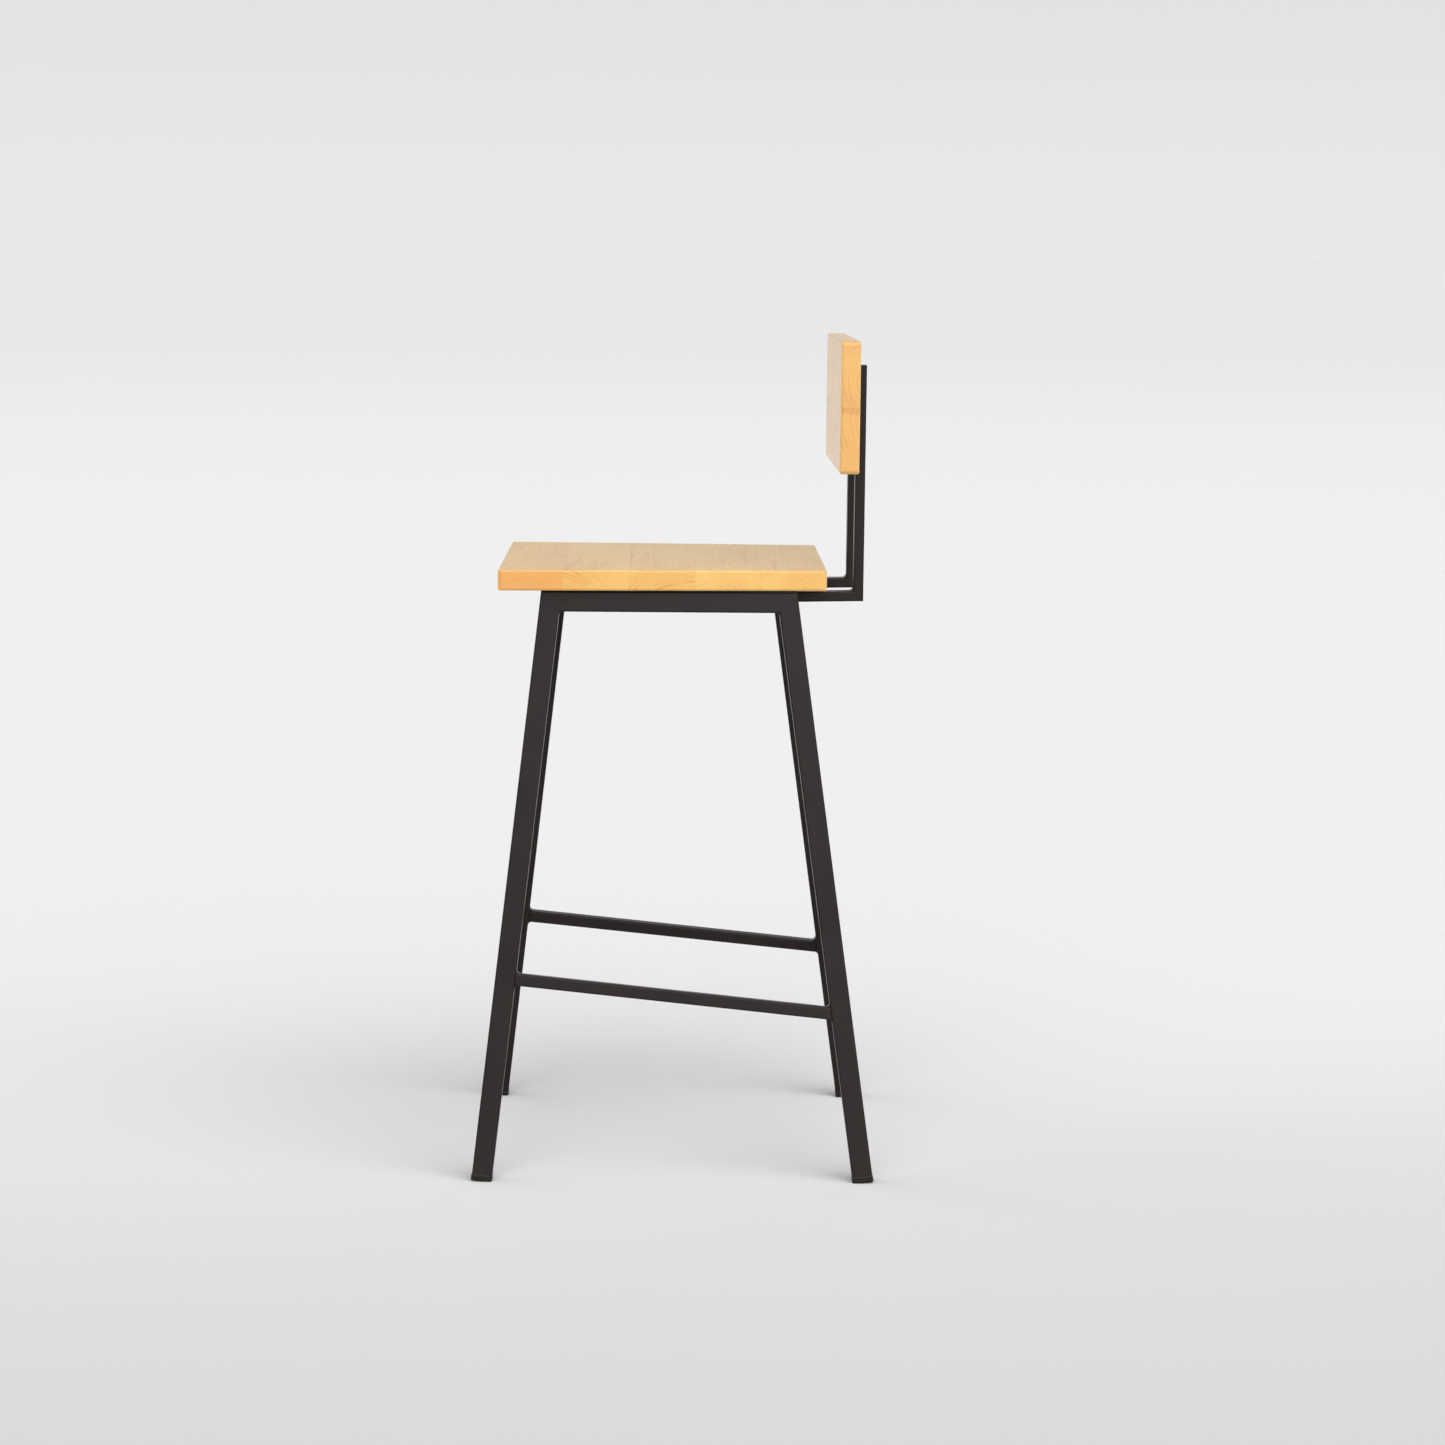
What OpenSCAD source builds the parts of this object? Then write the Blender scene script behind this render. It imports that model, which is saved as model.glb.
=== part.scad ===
// Bar stool with footrest: a welded frame of steel tube, a flat wooden seat, and a
// wooden backrest on two L-shaped steel supports that rise behind the seat.
// +Z is up, the front of the stool faces -Y, and the sitter's left is +X.
// The origin is on the floor in the middle of the footprint. Sizes are in millimetres.

/* [Frame] */
// Width across the outer faces of the side frames at the floor
base_width = 500; // [470:5:530]
// Depth from the front legs to the rear legs at the floor
base_depth = 495; // [470:5:520]
// Width across the outer faces of the side rails at their top edges
top_width = 387; // [370:1:400]
// Distance of the front top corners in front of the middle of the footprint
top_front = 165; // [155:1:175]
// Distance of the rear top corners behind the middle of the footprint
top_rear = 148; // [140:1:158]
// Height of the top edges of the side rails
frame_height = 723.5; // [650:1:780]
// Side of the square tube of the legs and rails
tube = 25; // [24:0.5:26]
// Wall thickness of the steel tube
wall = 1.5; // [1.2:0.1:1.8]
// Corner radius of the steel tube
tube_radius = 2; // [1.6:0.1:2.4]

/* [Footrest] */
// Side of the square tube of the side stretchers and footrest bars
stretcher = 15; // [14:0.5:18]
// Height of the top edge of the side stretchers, halfway along
stretcher_height = 236; // [200:1:280]
// Slope of the side stretchers, down to the rear
stretcher_slope = 5.9; // [4:0.1:8]

/* [Back support] */
// Thickness of the L-shaped supports, seen from the side
support_thickness = 12.5; // [10:0.5:14]
// Width of the L-shaped supports, seen from the rear
support_width = 25; // [20:1:30]
// Distance of the outer faces of the supports from the middle
support_outer = 107; // [90:1:130]
// Distance of the rear corners of the supports behind the middle
support_rear = 233; // [225:1:245]
// Height of the lower rear corners of the supports
support_height = 705.5; // [702:0.5:708]
// Height of the tops of the posts
post_top = 998; // [970:0.5:1010]
// Rise of the support arms towards the rear
arm_rise = 1; // [0:0.1:2]
// Backward lean of the posts and the backrest
post_lean = 0.2; // [0:0.1:3]

/* [Seat] */
// Width of the seat along its front edge
seat_front_width = 437; // [420:1:450]
// Width of the seat along its rear edge
seat_rear_width = 392; // [380:1:410]
// Depth of the seat
seat_depth = 401; // [390:1:410]
// Distance of the front edge of the seat in front of the middle of the footprint
seat_front = 217; // [210:1:222]
// Thickness of the seat
seat_thickness = 25.5; // [22:0.5:28]
// Width of the glued staves of the seat; the front one takes what is left
seat_stave = 80.6; // [79:0.1:82]

/* [Backrest] */
// Width of the backrest
back_width = 413; // [390:1:430]
// Height of the lower edge of the backrest
back_bottom = 869; // [860:0.5:890]
// Height of the backrest from its lower edge to its upper edge
back_height = 161; // [140:0.5:170]
// Thickness of the backrest
back_thickness = 24; // [22:0.5:26]
// Radius of the edges of the seat and backrest
edge_radius = 3; // [2:0.5:4]
// Radius of the corners of the seat and backrest
corner_radius = 5; // [5:0.5:10]

/* [Feet and fasteners] */
// Height of the part of a foot below the leg tube
foot_height = 8; // [7:0.5:11]
// How far a foot stands proud of the leg tube on each side
foot_proud = 0.6; // [0.4:0.1:1]
// Share of a foot's width that rests on the floor along its outer face
foot_flat = 0.5; // [0.3:0.05:0.7]
// Thickness of the flat bars between the side rails and the seat
strip_thickness = 2.5; // [2:0.5:4]
// Width of the flat bars between the side rails and the seat
strip_width = 45; // [42:1:50]
// Concave radius of the weld beads
weld_radius = 5; // [4:0.5:6]

/* [Hidden] */

LEFT = 1;
RIGHT = -1;
$fn = 48;

steel = "#36322f";
weld_steel = "#3b3734";
plastic = "#262422";
zinc = "silver";
light_wood = "#e2b176";
warm_wood = "#dca869";

// Longer than any piece, for the solids that cut ends off
reach = 1200;
// How far a cutter runs past the face that it cuts
margin = 1;
// Room between solids that touch along a slope, so that they don't overlap
hairline = 0.01;

// Angle of the side frames from upright, with their tops inwards
lean = atan((base_width - top_width) / 2 / frame_height);
// Height of the rail's top edge, measured in the plane of the side frame
rail_line = frame_height / cos(lean);
// Angles of the legs from upright in the plane of the side frame
front_splay = atan((base_depth / 2 - top_front) / rail_line);
rear_splay = atan((base_depth / 2 - top_rear) / rail_line);

// The cross rails stand just inside the ends of the side rails
cross_rail_inset = 2;
// The side rails lean, so the highest line along them is on their rounded edge
cross_rail_top = frame_height - tube_radius * (sin(lean) + cos(lean) - 1) + hairline;
seat_underside = cross_rail_top + strip_thickness;
// Footrest bars stay this far inside the faces of the legs
bar_inset = 0.5;

seat_rear = seat_depth - seat_front;
// Angle of the seat's side edges to the Y axis
seat_taper = atan((seat_front_width - seat_rear_width) / 2 / seat_depth);

// Bisector of the corner of an L-shaped support, from the direction of +Y
arm_direction = 180 + arm_rise;
post_direction = 90 - post_lean;
support_mitre = (arm_direction + post_direction) / 2;
post_length = (post_top - support_height) / cos(post_lean);
post_cap_height = 4;

// Positions of the seat screws, along the strips and from their inboard edges
strip_screw_steps = [-130, -50, 35, 115];
strip_hole_inset = 9;
strip_hole = 5.5;
screw_shank = 4.5;
screw_head = 9;
screw_head_height = 2.5;
screw_depth = 15;
recess_length = 5;
recess_width = 1.1;
recess_depth = 1.2;
// Room around a screw's shank in the wood, and beyond its end
screw_room = 0.05;
screw_end_room = 1;

// Heights of the backrest screws above the corners of the supports
back_screw_steps = [190, 270];
back_screw_head = 8;
back_screw_sink = 2;
back_screw_length = 28;

// Height of the bevel around the top of a foot
foot_bevel = 1.2;
plug_depth = 16;
plug_room = 0.2;

// A rectangle with rounded corners, from the origin
module rounded_rectangle(w, h, r) {
    translate([r, 0]) square([w - 2 * r, h]);
    translate([0, r]) square([w, h - 2 * r]);
    for (x = [r, w - r], y = [r, h - r]) translate([x, y]) circle(r);
}

// A bar of rounded section along +Y, from x = 0 to w and from z = -d to 0
module bar(w, d, r, length) {
    rotate([-90, 0, 0]) linear_extrude(length) rounded_rectangle(w, d, r);
}

// The same bar as a hollow tube
module tube_bar(w, d, length) {
    difference() {
        bar(w, d, tube_radius, length);
        translate([wall, -margin, -wall])
            bar(w - 2 * wall, d - 2 * wall, tube_radius / 2, length + 2 * margin);
    }
}

// Stands a side frame up. Its children are drawn flat: x is +Y, y is the height
// along the frame, and z is outwards from the outer face of the frame.
module side_frame(side) {
    mirror([side == LEFT ? 0 : 1, 0, 0])
        translate([base_width / 2, 0, 0])
            rotate([0, -lean, 0])
                rotate([90, 0, 90])
                    children();
}

// Put their children at the outer top corner of a leg, with y along the leg
// and x towards the middle of the side frame
module front_leg_corner() {
    translate([-top_front, rail_line, 0]) rotate([0, 0, -front_splay]) children();
}

module rear_leg_corner() {
    translate([top_rear, rail_line, 0]) mirror([1, 0, 0]) rotate([0, 0, -rear_splay]) children();
}

// Half of space on one side of the mitre between a leg and its rail
module mitre_cut(splay, from_y) {
    rotate([0, 0, splay / 2 - 45])
        translate([-tube, from_y, -2 * tube])
            cube([4 * tube, 3 * tube, 3 * tube]);
}

// Everything outwards from a side frame's inner face
module outside_frame() {
    translate([-reach, -reach, -tube]) cube([2 * reach, 2 * reach, reach]);
}

// Distance along a leg from its corner to the sole of its foot
function leg_to_sole(splay) = (rail_line - (1 - foot_flat) * tube * sin(splay)) / cos(splay);

module leg(splay) {
    length = leg_to_sole(splay) - foot_height;
    color(steel) difference() {
        translate([0, -length, 0]) tube_bar(tube, tube, length);
        mitre_cut(splay, 0);
    }
}

module side_rail() {
    color(steel) difference() {
        translate([-top_front, rail_line, 0])
            rotate([0, 0, -90])
                tube_bar(tube, tube, top_front + top_rear);
        front_leg_corner() mitre_cut(front_splay, -3 * tube);
        rear_leg_corner() mitre_cut(rear_splay, -3 * tube);
    }
}

// A foot below its leg, seen from the side: rounded at the sole and bevelled at the tube
module foot_profile(side) {
    intersection() {
        rounded_rectangle(side, 2 * foot_height, tube_radius);
        polygon([
            [0, 0],
            [side, 0],
            [side, foot_height - foot_bevel],
            [side - foot_proud, foot_height],
            [foot_proud, foot_height],
            [0, foot_height - foot_bevel]
        ]);
    }
}

// A plug cap in the end of a leg, with a sole that is cut flat on the floor
module foot_body(splay) {
    side = tube + 2 * foot_proud;
    sole = leg_to_sole(splay);
    translate([-foot_proud, -sole, foot_proud]) {
        intersection() {
            bar(side, side, tube_radius + foot_proud, foot_height);
            translate([0, 0, -side]) linear_extrude(side) foot_profile(side);
            rotate([0, 90, 0]) linear_extrude(side) foot_profile(side);
        }
    }
    plug = tube - 2 * wall - 2 * plug_room;
    plug_start = wall + plug_room;
    translate([plug_start, foot_height - sole, -plug_start])
        bar(plug, plug, tube_radius / 2, plug_depth);
}

module foot(side, front) {
    color(plastic) difference() {
        side_frame(side) {
            if (front) front_leg_corner() foot_body(front_splay);
            else rear_leg_corner() foot_body(rear_splay);
        }
        translate([-reach, -reach, -reach]) cube([2 * reach, 2 * reach, reach]);
    }
}

module side_stretcher() {
    color(steel) difference() {
        translate([0, stretcher_height / cos(lean), 0])
            rotate([0, 0, -90 - stretcher_slope])
                translate([0, -base_depth / 2, 0])
                    tube_bar(stretcher, stretcher, base_depth);
        front_leg_corner() beside_leg();
        rear_leg_corner() beside_leg();
    }
}

// Everything from a leg's inner edge outwards
module beside_leg() {
    translate([tube - reach, -reach, -reach]) cube([reach, 2 * reach, 2 * reach]);
}

// Where the top or bottom line of a stretcher meets a leg's inner edge, as a
// distance along the leg. The slope is negative for the rear legs.
function stretcher_on_leg(corner, splay, slope, height) =
    (height - rail_line - tan(slope) * (tube * cos(splay) - corner) + tube * sin(splay))
    / (cos(splay) + tan(slope) * sin(splay));

stretcher_top_line = stretcher_height / cos(lean);
stretcher_bottom_line = stretcher_top_line - stretcher / cos(stretcher_slope);

// Height of a leg's end of the stretcher, which the footrest bars line up with
function bar_height(corner, splay, slope) =
    (rail_line - tube * sin(splay)
        + stretcher_on_leg(corner, splay, slope, stretcher_top_line) * cos(splay)) * cos(lean);

front_bar_height = bar_height(top_front, front_splay, stretcher_slope);
rear_bar_height = bar_height(top_rear, rear_splay, -stretcher_slope);

// A footrest bar's section: its outer face lies along the legs' outer faces.
// Children are drawn with x inwards from that face, y up and z along the bar.
module footrest_bar_place(corner, height) {
    slope = atan((base_depth / 2 - corner) / frame_height);
    translate([0, base_depth / 2 - height * tan(slope), height])
        rotate([slope, 0, 0])
            translate([0, -bar_inset / cos(slope), 0])
                rotate([90, 0, -90])
                    children();
}

module footrest_bar_solid(corner, height) {
    difference() {
        footrest_bar_place(corner, height)
            translate([0, 0, -base_width / 2])
                rotate([90, 0, 0])
                    translate([0, 0, stretcher])
                        tube_bar(stretcher, stretcher, base_width);
        side_frame(LEFT) outside_frame();
        side_frame(RIGHT) outside_frame();
    }
}

module front_footrest_bar() {
    color(steel) mirror([0, 1, 0]) footrest_bar_solid(top_front, front_bar_height);
}

module rear_footrest_bar() {
    color(steel) footrest_bar_solid(top_rear, rear_bar_height);
}

// A cross rail between the side frames, with its outer face at y
module cross_rail_solid(y) {
    difference() {
        translate([-base_width / 2, y, cross_rail_top])
            rotate([0, 0, -90])
                tube_bar(tube, tube, base_width);
        side_frame(LEFT) outside_frame();
        side_frame(RIGHT) outside_frame();
    }
}

module front_cross_rail() {
    color(steel) cross_rail_solid(tube + cross_rail_inset - top_front);
}

module rear_cross_rail() {
    color(steel) cross_rail_solid(top_rear - cross_rail_inset);
}

// Puts its children at the lower rear corner of a support: x is +Y, y is up
// and z is outwards from the support's outer face
module support_corner(side) {
    mirror([side == LEFT ? 0 : 1, 0, 0])
        translate([support_outer, support_rear, support_height])
            rotate([90, 0, 90])
                children();
}

// Half of space on one side of the mitre of a support
module support_mitre_cut(from_y) {
    rotate([0, 0, support_mitre])
        translate([-2 * tube, from_y, -2 * support_width])
            cube([4 * tube, 2 * tube, 3 * support_width]);
}

module support_arm(side) {
    color(steel) difference() {
        support_corner(side) difference() {
            rotate([0, 0, 90 + arm_rise]) tube_bar(support_thickness, support_width, support_rear);
            support_mitre_cut(-2 * tube);
        }
        translate([-reach, top_rear - cross_rail_inset - reach, 0])
            cube([2 * reach, reach, 2 * reach]);
    }
}

// Puts its children on the centre line of a backrest screw, which points
// forwards along -z from the rear face of the post
module backrest_screw_place() {
    for (step = back_screw_steps)
        translate([0, step, -support_width / 2]) rotate([0, 90, 0]) children();
}

// The cross recess of a screw, sunk into its head from z = 0
module cross_recess() {
    for (turn = [0, 90]) rotate([0, 0, turn])
        translate([-recess_length / 2, -recess_width / 2, -recess_depth])
            cube([recess_length, recess_width, 2 * recess_depth]);
}

module backrest_screw_solid() {
    difference() {
        union() {
            translate([0, 0, -back_screw_sink])
                cylinder(back_screw_sink, screw_shank / 2, back_screw_head / 2);
            translate([0, 0, -back_screw_length]) cylinder(back_screw_length, r = screw_shank / 2);
        }
        cross_recess();
    }
}

// The countersink fits the head, and the shank has a little room
module backrest_screw_hole() {
    translate([0, 0, -back_screw_sink])
        cylinder(back_screw_sink, screw_shank / 2, back_screw_head / 2);
    translate([0, 0, -back_screw_length - screw_end_room])
        cylinder(back_screw_length + screw_end_room, r = screw_shank / 2 + screw_room);
}

module back_post(side) {
    color(steel) support_corner(side) difference() {
        rotate([0, 0, -post_lean]) difference() {
            translate([-support_thickness, -tube, 0])
                tube_bar(support_thickness, support_width, post_length - post_cap_height + tube);
            backrest_screw_place() backrest_screw_hole();
        }
        support_mitre_cut(0);
    }
}

module back_post_caps() {
    plug = [support_thickness, support_width] - [2, 2] * (wall + plug_room);
    start = wall + plug_room;
    color(plastic) for (side = [LEFT, RIGHT])
        support_corner(side) rotate([0, 0, -post_lean]) translate([-support_thickness, 0, 0]) {
            translate([0, post_length - post_cap_height, 0])
                bar(support_thickness, support_width, tube_radius, post_cap_height);
            translate([start, post_length - post_cap_height - plug_depth, -start])
                bar(plug[0], plug[1], tube_radius / 2, plug_depth);
        }
}

module backrest_screws() {
    color(steel) for (side = [LEFT, RIGHT])
        support_corner(side) rotate([0, 0, -post_lean])
            backrest_screw_place() backrest_screw_solid();
}

// Concave weld bead in a corner at the origin, between +X and the direction
// at the given angle, extruded from z = -depth to 0
module weld(angle, depth) {
    centre = [weld_radius / tan(angle / 2), weld_radius];
    sweep = 180 - angle;
    steps = 4;
    translate([hairline, hairline, -depth]) linear_extrude(depth) polygon([
        [0, 0],
        for (i = [0 : steps])
            centre + weld_radius * [cos(270 - sweep * i / steps), sin(270 - sweep * i / steps)]
    ]);
}

weld_depth = tube - 2 * tube_radius;

// The bead between a leg and the underside of its rail
module rail_weld(splay) {
    translate([tube, -tube * tan(45 - splay / 2), -tube_radius])
        rotate([0, 0, -90])
            weld(90 + splay, weld_depth);
}

module side_frame_welds() {
    color(weld_steel) for (side = [LEFT, RIGHT])
        side_frame(side) {
            front_leg_corner() rail_weld(front_splay);
            rear_leg_corner() rail_weld(rear_splay);
        }
}

// The beads above and below a stretcher, on a leg's inner edge
module stretcher_end_welds(corner, splay, slope) {
    depth = stretcher - 2 * tube_radius;
    translate([tube, stretcher_on_leg(corner, splay, slope, stretcher_top_line), -tube_radius])
        rotate([0, 0, splay - slope])
            weld(90 - splay + slope, depth);
    translate([tube, stretcher_on_leg(corner, splay, slope, stretcher_bottom_line), -tube_radius])
        rotate([0, 0, -90])
            weld(90 + splay - slope, depth);
}

module stretcher_welds() {
    color(weld_steel) for (side = [LEFT, RIGHT])
        side_frame(side) {
            front_leg_corner() stretcher_end_welds(top_front, front_splay, stretcher_slope);
            rear_leg_corner() stretcher_end_welds(top_rear, rear_splay, -stretcher_slope);
        }
}

// Distance of the inner face of a side frame from the middle at height z
function inner_face_x(z) = base_width / 2 - z * tan(lean) - tube / cos(lean);

// The beads above and below one end of a footrest bar
module footrest_bar_end_welds(corner, height) {
    depth = stretcher - 2 * tube_radius;
    footrest_bar_place(corner, height) {
        translate([tube_radius, 0, -inner_face_x(height)])
            rotate([0, -90, 0])
                weld(90 - lean, depth);
        translate([tube_radius, -stretcher, -inner_face_x(height - stretcher)])
            rotate([0, -90, 0])
                mirror([0, 1, 0])
                    weld(90 + lean, depth);
    }
}

module footrest_bar_welds() {
    color(weld_steel) difference() {
        for (side = [LEFT, RIGHT]) mirror([side == LEFT ? 0 : 1, 0, 0]) {
            mirror([0, 1, 0]) footrest_bar_end_welds(top_front, front_bar_height);
            footrest_bar_end_welds(top_rear, rear_bar_height);
        }
        side_frame(LEFT) outside_frame();
        side_frame(RIGHT) outside_frame();
    }
}

// The upright bead between a side rail and a cross rail, seen in the side frame
module cross_rail_weld() {
    translate([0, rail_line - tube_radius, -tube])
        rotate([-90, 0, 0])
            weld(90, tube - 3 * tube_radius);
}

module cross_rail_welds() {
    color(weld_steel) for (side = [LEFT, RIGHT])
        side_frame(side) {
            translate([tube + cross_rail_inset - top_front, 0, 0]) cross_rail_weld();
            translate([top_rear - cross_rail_inset - tube, 0, 0])
                mirror([1, 0, 0])
                    cross_rail_weld();
        }
}

// The bead inside the corner of a support, and the two where its arm meets the rail
module support_welds() {
    corner_angle = arm_direction - post_direction;
    inner_corner = support_thickness / sin(corner_angle / 2);
    rail_face = top_rear - cross_rail_inset - support_rear;
    depth = support_width - 2 * tube_radius;
    translate([inner_corner * cos(support_mitre), inner_corner * sin(support_mitre), -tube_radius])
        rotate([0, 0, post_direction])
            weld(corner_angle, depth);
    arm_end = rail_face * tan(arm_rise);
    translate([rail_face, arm_end + support_thickness / cos(arm_rise), -tube_radius])
        rotate([0, 0, arm_rise])
            weld(90 - arm_rise, depth);
    translate([rail_face, arm_end, -tube_radius])
        rotate([0, 0, -90])
            weld(90 + arm_rise, depth);
}

module back_support_welds() {
    color(weld_steel) for (side = [LEFT, RIGHT]) support_corner(side) support_welds();
}

// Stands a seat strip's inboard edge on the side rails: x is outwards, y to the rear
module strip_place(side) {
    mirror([side == LEFT ? 0 : 1, 0, 0])
        translate([top_width / 2 - strip_thickness * tan(lean) - strip_width, 0, cross_rail_top])
            children();
}

module at_strip_holes(side) {
    strip_place(side)
        for (y = strip_screw_steps) translate([strip_hole_inset, y, 0]) children();
}

module seat_strip(side) {
    color(steel) difference() {
        strip_place(side) translate([0, -top_front, 0])
            cube([strip_width, top_front + top_rear, strip_thickness]);
        at_strip_holes(side) translate([0, 0, -margin])
            cylinder(strip_thickness + 2 * margin, r = strip_hole / 2);
    }
}

// A pan-head screw with a cross recess, its shank pointing up
module seat_screw() {
    difference() {
        translate([0, 0, -screw_head_height]) cylinder(screw_head_height, r = screw_head / 2);
        translate([0, 0, -screw_head_height]) mirror([0, 0, 1]) cross_recess();
    }
    cylinder(strip_thickness + screw_depth, r = screw_shank / 2);
}

module seat_screws() {
    color(zinc) for (side = [LEFT, RIGHT]) at_strip_holes(side) seat_screw();
}

// The seat in plan, a trapezium whose corners are rounded about these centres
function seat_corner_x(y) =
    seat_front_width / 2 - (y + seat_front) * tan(seat_taper) - corner_radius / cos(seat_taper);

module seat_plan() {
    front_y = corner_radius - seat_front;
    rear_y = seat_rear - corner_radius;
    out = corner_radius * [cos(seat_taper), sin(seat_taper)];
    half = [
        [seat_corner_x(front_y), -seat_front],
        [seat_corner_x(front_y), front_y] + out,
        [seat_corner_x(rear_y), rear_y] + out,
        [seat_corner_x(rear_y), seat_rear]
    ];
    polygon([for (p = half) p, for (i = [3 : -1 : 0]) [-half[i][0], half[i][1]]]);
    for (y = [front_y, rear_y], side = [-1, 1])
        translate([side * seat_corner_x(y), y]) circle(corner_radius);
}

// The whole seat, with rounded edges and the pilot holes of its screws
module seat_panel() {
    top = seat_underside + seat_thickness;
    difference() {
        intersection() {
            translate([0, 0, seat_underside]) linear_extrude(seat_thickness) seat_plan();
            translate([-reach / 2, seat_rear, top]) rotate([0, 0, -90])
                bar(seat_depth, seat_thickness, edge_radius, reach);
            seat_side(top);
            mirror([1, 0, 0]) seat_side(top);
        }
        for (side = [LEFT, RIGHT]) at_strip_holes(side)
            cylinder(strip_thickness + screw_depth + screw_end_room, r = screw_shank / 2 + screw_room);
    }
}

// A slab whose one rounded edge is the side edge of the seat
module seat_side(top) {
    translate([seat_front_width / 2, -seat_front, top])
        rotate([0, 0, seat_taper])
            translate([-reach, -reach / 2, 0])
                bar(reach, seat_thickness, edge_radius, reach);
}

SEAT_STAVES = 5;

// Position of the glue line behind a stave, counted from the front
function glue_line(i) = seat_rear - (SEAT_STAVES - i) * seat_stave;

module seat_stave(i) {
    front = i == 1 ? -reach : glue_line(i - 1);
    rear = i == SEAT_STAVES ? reach : glue_line(i);
    color(i % 2 == 0 ? light_wood : warm_wood) intersection() {
        seat_panel();
        translate([-reach / 2, front, 0]) cube([reach, rear - front, reach]);
    }
}

// Stands the backrest up: x is across, y is to the rear from the rear corners
// of the supports, and z is up the posts
module backrest_place() {
    translate([0, support_rear, support_height]) rotate([-post_lean, 0, 0]) children();
}

back_start = (back_bottom - support_height) / cos(post_lean);
back_middle = back_start + back_height / 2;
back_face = -support_thickness - back_thickness;

module backrest_panel() {
    difference() {
        backrest_place() intersection() {
            translate([-back_width / 2, -support_thickness, back_start]) rotate([90, 0, 0])
                linear_extrude(back_thickness)
                    rounded_rectangle(back_width, back_height, corner_radius);
            translate([-reach / 2, back_face, back_start]) rotate([90, 0, 90])
                linear_extrude(reach)
                    rounded_rectangle(back_thickness, back_height, edge_radius);
            translate([-back_width / 2, back_face, 0])
                linear_extrude(reach)
                    rounded_rectangle(back_width, back_thickness, edge_radius);
        }
        for (side = [LEFT, RIGHT])
            support_corner(side) rotate([0, 0, -post_lean])
                backrest_screw_place() backrest_screw_hole();
    }
}

// One of the two staves of the backrest, between two heights
module backrest_stave(low, high) {
    color(light_wood) intersection() {
        backrest_panel();
        backrest_place() translate([-reach / 2, -reach / 2, low])
            cube([reach, reach, high - low]);
    }
}

side_frame(LEFT) front_leg_corner() leg(front_splay);  // left_front_leg
side_frame(LEFT) rear_leg_corner() leg(rear_splay);  // left_rear_leg
side_frame(RIGHT) front_leg_corner() leg(front_splay);  // right_front_leg
side_frame(RIGHT) rear_leg_corner() leg(rear_splay);  // right_rear_leg
side_frame(LEFT) side_rail();  // left_side_rail
side_frame(RIGHT) side_rail();  // right_side_rail
front_cross_rail();
rear_cross_rail();
side_frame(LEFT) side_stretcher();  // left_side_stretcher
side_frame(RIGHT) side_stretcher();  // right_side_stretcher
front_footrest_bar();
rear_footrest_bar();
support_arm(LEFT);  // left_support_arm
support_arm(RIGHT);  // right_support_arm
back_post(LEFT);  // left_back_post
back_post(RIGHT);  // right_back_post
side_frame_welds();
stretcher_welds();
footrest_bar_welds();
cross_rail_welds();
back_support_welds();
seat_strip(LEFT);  // left_seat_strip
seat_strip(RIGHT);  // right_seat_strip
seat_screws();
backrest_screws();
foot(LEFT, true);  // left_front_foot
foot(LEFT, false);  // left_rear_foot
foot(RIGHT, true);  // right_front_foot
foot(RIGHT, false);  // right_rear_foot
back_post_caps();
seat_stave(1);  // seat_stave_1
seat_stave(2);  // seat_stave_2
seat_stave(3);  // seat_stave_3
seat_stave(4);  // seat_stave_4
seat_stave(5);  // seat_stave_5
backrest_stave(0, back_middle);  // backrest_lower_stave
backrest_stave(back_middle, reach);  // backrest_upper_stave
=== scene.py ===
"""Looks of the bar stool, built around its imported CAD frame. Sizes are in metres."""
import math
import random

import bmesh
import bpy
from mathutils import Matrix, Vector


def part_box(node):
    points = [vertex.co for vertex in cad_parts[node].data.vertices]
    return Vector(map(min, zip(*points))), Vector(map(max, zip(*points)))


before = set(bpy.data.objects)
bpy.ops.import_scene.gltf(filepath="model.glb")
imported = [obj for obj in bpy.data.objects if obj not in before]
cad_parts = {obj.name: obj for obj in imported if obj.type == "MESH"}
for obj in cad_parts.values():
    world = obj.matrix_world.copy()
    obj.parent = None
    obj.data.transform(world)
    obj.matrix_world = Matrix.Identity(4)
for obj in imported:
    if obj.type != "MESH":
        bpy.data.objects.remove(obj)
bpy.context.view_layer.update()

SEAT_STAVES = ["seat_stave_%d" % i for i in range(1, 6)]
BACK_STAVES = ["backrest_lower_stave", "backrest_upper_stave"]
Y_AXIS, Z_AXIS = 1, 2


def srgb(red, green, blue):
    """A display colour, 0 to 255, as the linear RGBA that shader sockets take."""
    def linear(c):
        c /= 255
        return c / 12.92 if c <= 0.04045 else ((c + 0.055) / 1.055) ** 2.4
    return linear(red), linear(green), linear(blue), 1.0


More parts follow.
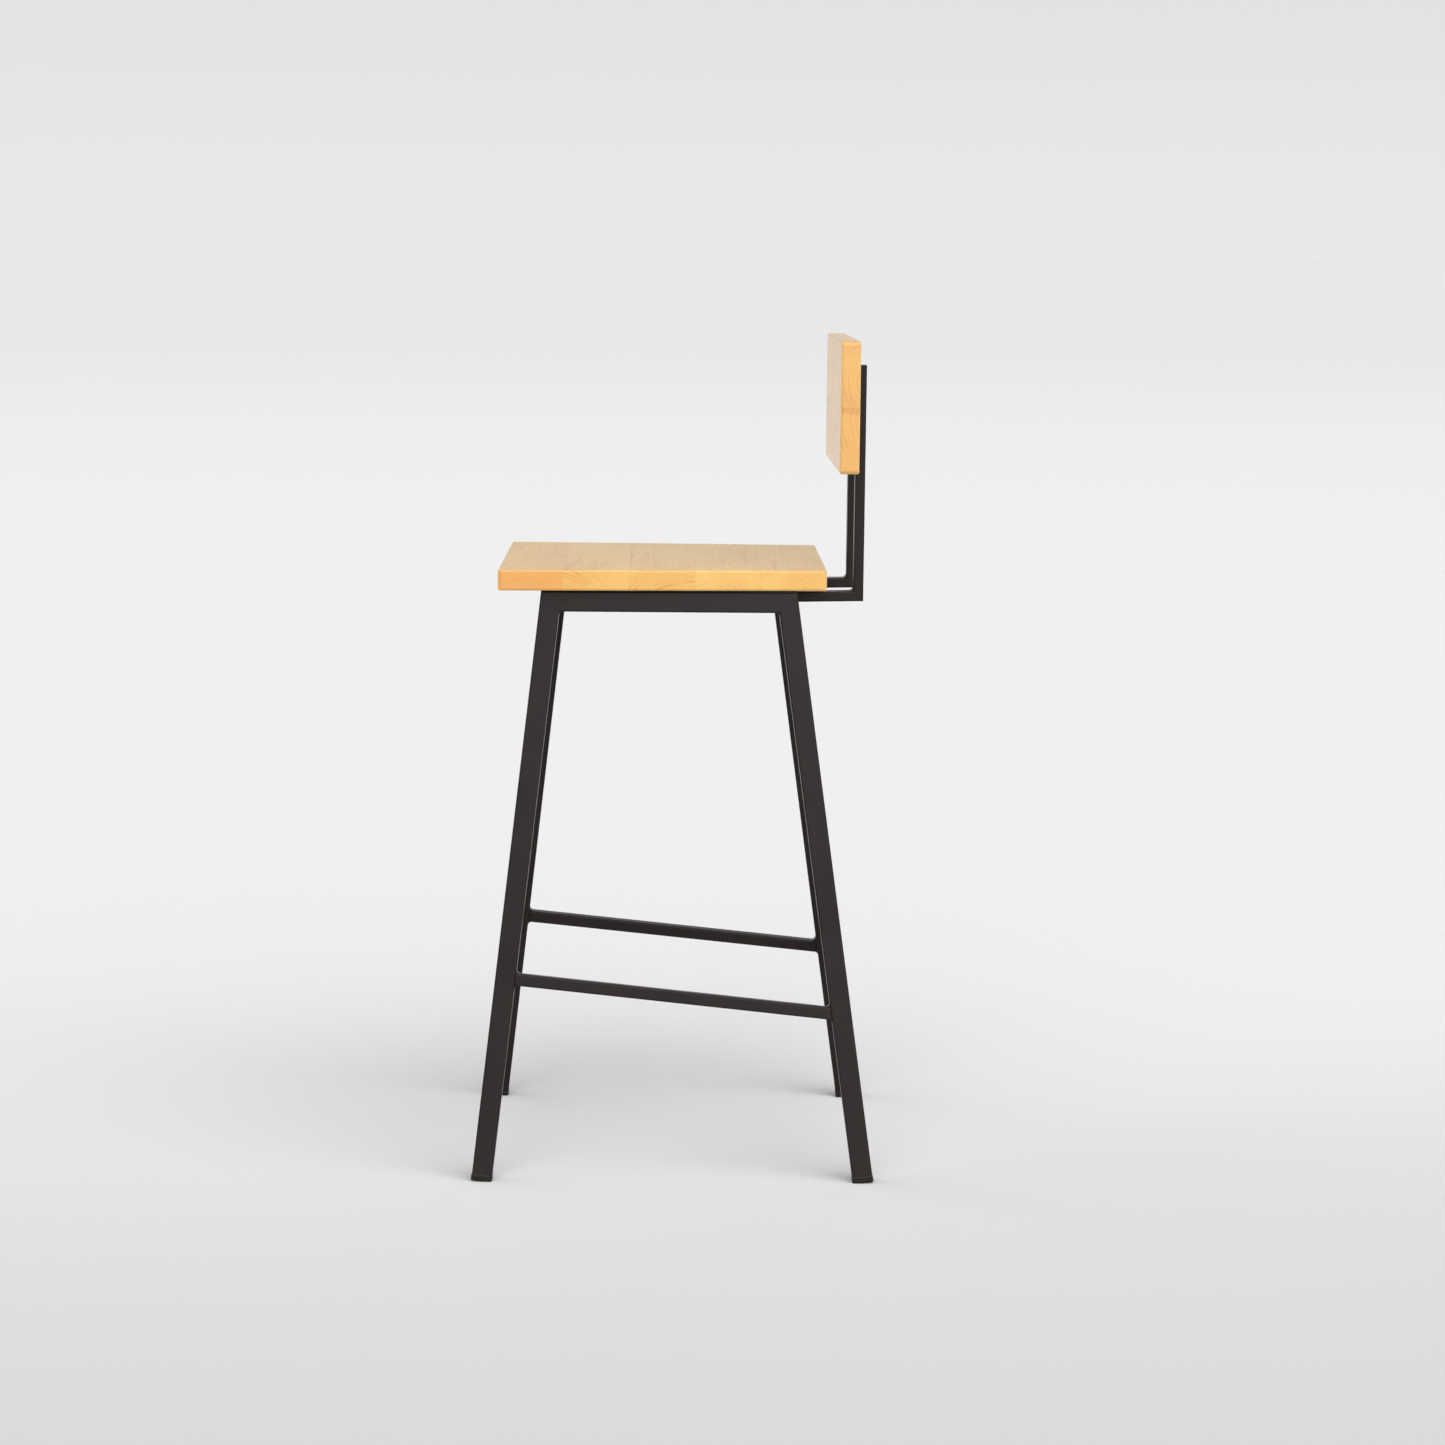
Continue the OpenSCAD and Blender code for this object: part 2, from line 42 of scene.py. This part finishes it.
class Graph:
    """Adds nodes to one node tree and links them."""

    def __init__(self, tree):
        self.tree = tree
        tree.nodes.clear()

    def add(self, kind, inputs=None, **settings):
        node = self.tree.nodes.new("ShaderNode" + kind)
        for name, value in settings.items():
            setattr(node, name, value)
        for name, value in (inputs or {}).items():
            self.put(node.inputs[name], value)
        return node

    def put(self, socket, value):
        if isinstance(value, bpy.types.NodeSocket):
            self.tree.links.new(value, socket)
        else:
            socket.default_value = value

    def math(self, operation, a, b=0.0, c=0.0, clamp=False):
        inputs = {0: a, 1: b, 2: c}
        return self.add("Math", inputs, operation=operation, use_clamp=clamp).outputs[0]

    def vector(self, operation, a, b):
        return self.add("VectorMath", {0: a, 1: b}, operation=operation).outputs[0]

    def xyz(self, vector):
        return self.add("SeparateXYZ", {0: vector}).outputs

    def step(self, value, start, end, low=0.0, high=1.0):
        """Goes smoothly from low to high as value goes from start to end."""
        inputs = {"Value": value, "From Min": start, "From Max": end, "To Min": low, "To Max": high}
        return self.add("MapRange", inputs, interpolation_type="SMOOTHSTEP").outputs[0]

    def noise(self, at, scale, detail=2.0, roughness=0.5):
        """Noise with its own scale along each axis, in features per metre."""
        stretched = self.vector("MULTIPLY", at, scale)
        inputs = {"Vector": stretched, "Scale": 1.0, "Detail": detail, "Roughness": roughness}
        return self.add("TexNoise", inputs)

    def mix(self, factor, a, b, blend="MIX"):
        node = self.add("Mix", {"Factor": factor}, data_type="RGBA", blend_type=blend)
        self.put(node.inputs[6], a)
        self.put(node.inputs[7], b)
        return node.outputs[2]

    def bump(self, height, distance, strength=1.0):
        return self.add("Bump", {"Height": height, "Distance": distance,
                                 "Strength": strength}).outputs[0]

    def surface(self, **inputs):
        shader = self.add("BsdfPrincipled", {k.replace("_", " "): v for k, v in inputs.items()})
        self.add("OutputMaterial", {"Surface": shader.outputs[0]})


def material(name):
    """A new material and the graph that draws it."""
    made = bpy.data.materials.new(name)
    made.use_nodes = True
    return made, Graph(made.node_tree)


def give(node, finish):
    """Gives a CAD node another material."""
    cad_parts[node].material_slots[0].material = finish


# ---------------------------------------------------------------- wood

LIGHT_WOOD = srgb(210, 172, 102)
RING_WOOD = srgb(189, 138, 73)
ORANGE_WOOD = srgb(202, 146, 79)
ORANGE_RING = srgb(180, 113, 54)
PORE_BROWN = srgb(146, 96, 48)

# Weight of the clear coat, which is fuller on the backrest
SEAT_LACQUER = 0.64
BACK_LACQUER = 0.95


def wood(name, seed, pith, tone, lacquer, glue_lines, across, streak=None):
    """Lacquered hardwood, solid: its growth rings run round a pith line along X.

    pith is (y, z) of that line, tone goes from light (0) to orange (1), lacquer is
    the weight of the clear coat, and glue_lines are the places of the stave's glued
    faces on the axis across. A darker streak may lie just below the height streak.
    """
    draw = random.Random(seed)
    made, g = material(name)
    at = g.add("TexCoord").outputs["Object"]
    shifted = g.vector("ADD", at, (draw.uniform(-9, 9), 0.0, 0.0))

    # The rings wander along the stave, and the trunk tapers a little
    wander = g.noise(shifted, (3.0, 9.0, 9.0), 2.0).outputs["Color"]
    wander = g.vector("MULTIPLY", g.vector("SUBTRACT", wander, (0.5, 0.5, 0.5)), (0.0, 0.03, 0.03))
    x, y, z = g.xyz(g.vector("ADD", at, wander))
    taper_y, taper_z = draw.uniform(-0.03, 0.03), draw.uniform(-0.03, 0.03)
    from_y = g.math("SUBTRACT", g.math("MULTIPLY_ADD", x, taper_y, y), pith[0])
    from_z = g.math("SUBTRACT", g.math("MULTIPLY_ADD", x, taper_z, z), pith[1])
    radius = g.math("SQRT", g.math("ADD", g.math("MULTIPLY", from_y, from_y),
                                   g.math("MULTIPLY", from_z, from_z)))
    ring = g.math("FRACT", g.math("DIVIDE", radius, draw.uniform(0.0045, 0.006)))
    late = g.math("MULTIPLY", g.step(ring, 0.25, 0.9), g.step(ring, 1.0, 0.93))
    years = g.add("CombineXYZ", {0: g.math("MULTIPLY", x, 0.01), 1: radius, 2: draw.uniform(0, 9)})
    for at_ring, scale in [(years.outputs[0], (150.0,) * 3), (shifted, (2.0, 30.0, 30.0))]:
        strength = g.step(g.noise(at_ring, scale).outputs[0], 0.38, 0.66, 0.1, 1.0)
        late = g.math("MULTIPLY", late, strength)

    # Fibres and pores are long along X, so they show as dots on the end grain
    fibre = g.noise(shifted, (22.0, 420.0, 420.0), 3.0, 0.6).outputs[0]
    pore = g.step(g.noise(shifted, (55.0, 1500.0, 1500.0), 1.0).outputs[0], 0.66, 0.76)
    cloud = g.noise(shifted, (4.0, 14.0, 14.0), 2.0).outputs[0]

    normal = g.xyz(g.add("NewGeometry").outputs["Normal"])
    end = g.step(g.math("ABSOLUTE", normal[0]), 0.6, 0.95)

    # The ends take up more of the finish, so they show a stave's own tone more
    tone = g.step(end, 0.0, 1.0, 0.25 * tone, tone)
    light = g.mix(tone, LIGHT_WOOD, ORANGE_WOOD)
    dark = g.mix(tone, RING_WOOD, ORANGE_RING)
    amount = g.math("MULTIPLY", late, g.math("MULTIPLY_ADD", end, 0.1, 0.55))
    amount = g.math("ADD", amount, g.step(fibre, 0.35, 0.75, -0.07, 0.16))
    amount = g.math("ADD", amount, g.step(cloud, 0.3, 0.7, -0.12, 0.24))
    if streak is not None:
        below = g.math("SUBTRACT", streak, g.xyz(at)[2])
        below = g.math("ADD", below, g.step(cloud, 0.3, 0.7, -0.002, 0.003))
        darker = g.step(end, 0.0, 1.0, 0.2, 0.5)
        amount = g.math("ADD", amount, g.step(below, 0.009, 0.005, 0.0, darker))
    amount = g.math("MINIMUM", g.math("MAXIMUM", amount, 0.0), 1.0)
    colour = g.mix(amount, light, dark)
    colour = g.mix(g.math("MULTIPLY", pore, 0.22), colour, PORE_BROWN)
    colour = g.mix(g.math("MULTIPLY", end, 0.25), colour, srgb(250, 226, 180), "MULTIPLY")

    line = 0.0
    for face in glue_lines:
        gap = g.math("ABSOLUTE", g.math("SUBTRACT", g.xyz(at)[across], face))
        line = g.math("MAXIMUM", line, g.step(gap, 0.0003, 0.0001))
    colour = g.mix(g.math("MULTIPLY", line, 0.3), colour, PORE_BROWN)

    roughness = g.step(fibre, 0.3, 0.7, 0.4, 0.52)
    grain = g.math("SUBTRACT", g.math("MULTIPLY", fibre, 0.6), g.math("MULTIPLY", pore, 0.5))
    grain = g.math("SUBTRACT", grain, line)
    g.surface(Base_Color=colour, Roughness=roughness, Normal=g.bump(grain, 0.00005),
              IOR=1.5, Specular_IOR_Level=0.15, Coat_Weight=lacquer, Coat_Roughness=0.27)
    return made


def finish_staves():
    """Each stave is cut from its own trunk, so each has its own rings and tone."""
    # Each stave's tone, and how far its pith lies behind and above its middle
    seat_cuts = [(0.85, 0.03, -0.16), (0.22, -0.05, -0.05), (0.1, 0.045, -0.09),
                 (0.0, -0.02, -0.035), (0.05, 0.0, -0.12)]
    for i, (tone, behind, above) in enumerate(seat_cuts):
        name = SEAT_STAVES[i]
        low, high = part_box(name)
        middle = (low + high) / 2
        pith = middle.y + behind, middle.z + above
        glued = [low.y] * (i > 0) + [high.y] * (i < len(SEAT_STAVES) - 1)
        give(name, wood(name + "_wood", 11 + i, pith, tone, SEAT_LACQUER, glued, Y_AXIS))

    # The same for the backrest, but with the pith behind the stave's rear face
    back_cuts = [(0.5, 0.05, 0.02), (0.45, 0.012, -0.012)]
    for i, (tone, behind, above) in enumerate(back_cuts):
        name = BACK_STAVES[i]
        low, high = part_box(name)
        middle = (low + high) / 2
        pith = high.y + behind, middle.z + above
        joint, streak = (high.z, high.z) if i == 0 else (low.z, None)
        give(name, wood(name + "_wood", 31 + i, pith, tone, BACK_LACQUER, [joint], Z_AXIS, streak))


# ---------------------------------------------------------------- metal and plastic


def powder_coat(name, colour, worn):
    """Satin powder coat: a fine orange-peel skin over steel."""
    made, g = material(name)
    at = g.add("TexCoord").outputs["Object"]
    peel = g.noise(at, (900.0,) * 3, 2.0).outputs[0]
    grit = g.noise(at, (4200.0,) * 3, 1.0).outputs[0]
    cloud = g.noise(at, (14.0,) * 3, 3.0).outputs[0]
    shade = g.mix(g.step(cloud, 0.3, 0.7), colour, worn)
    shade = g.mix(g.step(grit, 0.6, 0.8, 0.0, 0.4), shade, srgb(42, 35, 32))
    roughness = g.math("ADD", g.step(cloud, 0.3, 0.7, 0.3, 0.37), g.step(grit, 0.3, 0.7, 0.0, 0.05))
    skin = g.math("ADD", peel, g.math("MULTIPLY", grit, 0.3))
    g.surface(Base_Color=shade, Roughness=roughness, IOR=1.5, Specular_IOR_Level=0.22,
              Normal=g.bump(skin, 0.00005))
    return made


def moulded_plastic(name):
    """Matte moulded plastic with the fine spark texture of its mould."""
    made, g = material(name)
    at = g.add("TexCoord").outputs["Object"]
    spark = g.noise(at, (2600.0,) * 3, 2.0, 0.7).outputs[0]
    scuff = g.noise(at, (60.0, 60.0, 400.0), 3.0).outputs[0]
    shade = g.mix(g.step(scuff, 0.5, 0.8), srgb(16, 12, 7), srgb(27, 22, 14))
    g.surface(Base_Color=shade, Roughness=g.step(scuff, 0.3, 0.8, 0.32, 0.46),
              Normal=g.bump(spark, 0.00004), IOR=1.47, Specular_IOR_Level=0.22)
    return made


def plated_steel(name, colour, dull, roughness):
    """Plated screws, with a faint cloudiness in the plating."""
    made, g = material(name)
    at = g.add("TexCoord").outputs["Object"]
    cloud = g.noise(at, (220.0,) * 3, 3.0).outputs[0]
    fine = g.noise(at, (1800.0,) * 3, 2.0).outputs[0]
    g.surface(Base_Color=g.mix(cloud, colour, dull), Metallic=1.0,
              Roughness=g.step(cloud, 0.3, 0.7, roughness - 0.07, roughness + 0.1),
              Normal=g.bump(fine, 0.00003))
    return made


def finish_metal():
    """Gives each CAD node the finish that its material slot in the record stands for."""
    finishes = {
        "frame_paint": powder_coat("satin_black_powder_coat", srgb(18, 11, 10), srgb(25, 17, 15)),
        "foot_plastic": moulded_plastic("black_moulded_plastic"),
        "zinc_screws": plated_steel(
            "zinc_plated_steel", srgb(206, 205, 198), srgb(176, 172, 158), 0.33),
        "black_screws": plated_steel(
            "black_oxide_steel", srgb(52, 49, 47), srgb(34, 32, 31), 0.4),
    }
    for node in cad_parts.values():
        slot = node.material_slots[0].material.name.split(".")[0]
        if slot in finishes:
            node.material_slots[0].material = finishes[slot]


# ---------------------------------------------------------------- stage


# The floor reaches to the horizon, and lies just below the feet
FLOOR_RADIUS = 300.0
FLOOR_GAP = 0.0005
# Its grey at its left and right, and the even grey that both fade to far away. The left is painted
# shade and the right painted light: they stand in for light falling off across the floor and
# lighten the stool's shadow
LEFT_PAINTED_SHADE_GREY = 0.567
RIGHT_PAINTED_LIGHT_GREY = 0.715
FAR_GREY = 0.662


def floor():
    """A plain pale floor with painted shade from side to side: darker on the stool's left, lighter
    on its right.
    """
    made, g = material("studio_floor")
    at = g.add("TexCoord").outputs["Object"]
    away = g.add("VectorMath", {0: at}, operation="LENGTH").outputs["Value"]
    grain = g.noise(at, (90.0,) * 3, 2.0).outputs[0]
    # Painted shade and light: the floor's grey grows lighter from the stool's left to its right, in
    # place of light falling off, and lightens the stool's shadow
    grey = g.step(g.xyz(at)[0], 1.9, -1.3, LEFT_PAINTED_SHADE_GREY, RIGHT_PAINTED_LIGHT_GREY)
    settle = g.add("Mix", {"Factor": g.step(away, 5.0, 40.0)}, data_type="FLOAT")
    g.put(settle.inputs[2], grey)
    g.put(settle.inputs[3], FAR_GREY)
    shade = g.add("CombineColor", {i: settle.outputs[0] for i in range(3)}).outputs[0]
    g.surface(Base_Color=shade, Roughness=0.9, Specular_IOR_Level=0.0,
              Normal=g.bump(grain, 0.0002))
    mesh = bpy.data.meshes.new("studio_floor")
    shape = bmesh.new()
    bmesh.ops.create_circle(shape, cap_ends=True, segments=96, radius=FLOOR_RADIUS)
    shape.to_mesh(mesh)
    shape.free()
    mesh.materials.append(made)
    piece = bpy.data.objects.new("studio_floor", mesh)
    piece.location.z = -FLOOR_GAP
    bpy.context.scene.collection.objects.link(piece)


def light():
    """Soft light from a very large softbox on the stool's left, a weaker one in front of it, a
    pale backdrop on its right, and a glow all round that fades upwards."""
    world = bpy.data.worlds.new("studio")
    bpy.context.scene.world = world
    world.use_nodes = True
    g = Graph(world.node_tree)
    way = g.add("TexCoord").outputs["Generated"]
    x, y, z = g.xyz(way)

    def softbox(azimuth, elevation, outer, inner, strength):
        """A round patch of light that fades from its inner to its outer radius, in degrees."""
        azimuth, elevation = math.radians(azimuth), math.radians(elevation)
        towards = Vector((math.cos(elevation) * math.cos(azimuth),
                          math.cos(elevation) * math.sin(azimuth), math.sin(elevation)))
        near = g.add("VectorMath", {0: way, 1: towards}, operation="DOT_PRODUCT").outputs["Value"]
        return g.step(near, math.cos(math.radians(outer)), math.cos(math.radians(inner)),
                      0.0, strength)

    lit = g.math("ADD", softbox(22, 36, 56, 20, 3.2), softbox(-100, 8, 50, 20, 1.8))
    lit = g.math("ADD", lit, g.step(x, -0.35, -0.9, 0.0, 0.33))
    lit = g.math("ADD", lit, g.step(z, 0.35, 0.95, 0.4, 0.05))

    # The camera sees a plain backdrop that darkens a little upwards
    seen = g.step(z, 0.0, 0.08, 0.81, 0.76)
    camera_ray = g.add("LightPath").outputs["Is Camera Ray"]
    strength = g.add("Mix", {"Factor": camera_ray}, data_type="FLOAT")
    g.put(strength.inputs[2], lit)
    g.put(strength.inputs[3], seen)
    background = g.add("Background", {"Color": (1.0, 1.0, 1.0, 1.0),
                                      "Strength": strength.outputs[0]})
    g.add("OutputWorld", {"Surface": background.outputs[0]})


CAMERA_PLACE = (4.801, -0.010, 1.147)
LENS_MM = 94.4
SENSOR_MM = 36.0


def camera():
    """A long lens on the stool's left side, just above the seat, level but for a slight tilt."""
    turn, tilt, roll = math.radians(0.843), math.radians(7.219), math.radians(0.481)
    ahead = Vector((-math.cos(turn), math.sin(turn), 0))
    right = Vector((math.sin(turn), math.cos(turn), 0))
    up = Vector((0, 0, 1))
    aim = ahead * math.cos(tilt) - up * math.sin(tilt)
    raised = up * math.cos(tilt) + ahead * math.sin(tilt)
    side = right * math.cos(roll) + raised * math.sin(roll)
    top = -right * math.sin(roll) + raised * math.cos(roll)
    data = bpy.data.cameras.new("camera")
    data.sensor_width = SENSOR_MM
    data.lens = LENS_MM
    data.clip_end = 3 * FLOOR_RADIUS
    made = bpy.data.objects.new("camera", data)
    turned = Matrix((side, top, -aim)).transposed().to_4x4()
    made.matrix_world = Matrix.Translation(CAMERA_PLACE) @ turned
    bpy.context.scene.collection.objects.link(made)
    bpy.context.scene.camera = made


bpy.context.scene.view_settings.view_transform = "Standard"
finish_staves()
finish_metal()
floor()
light()
camera()
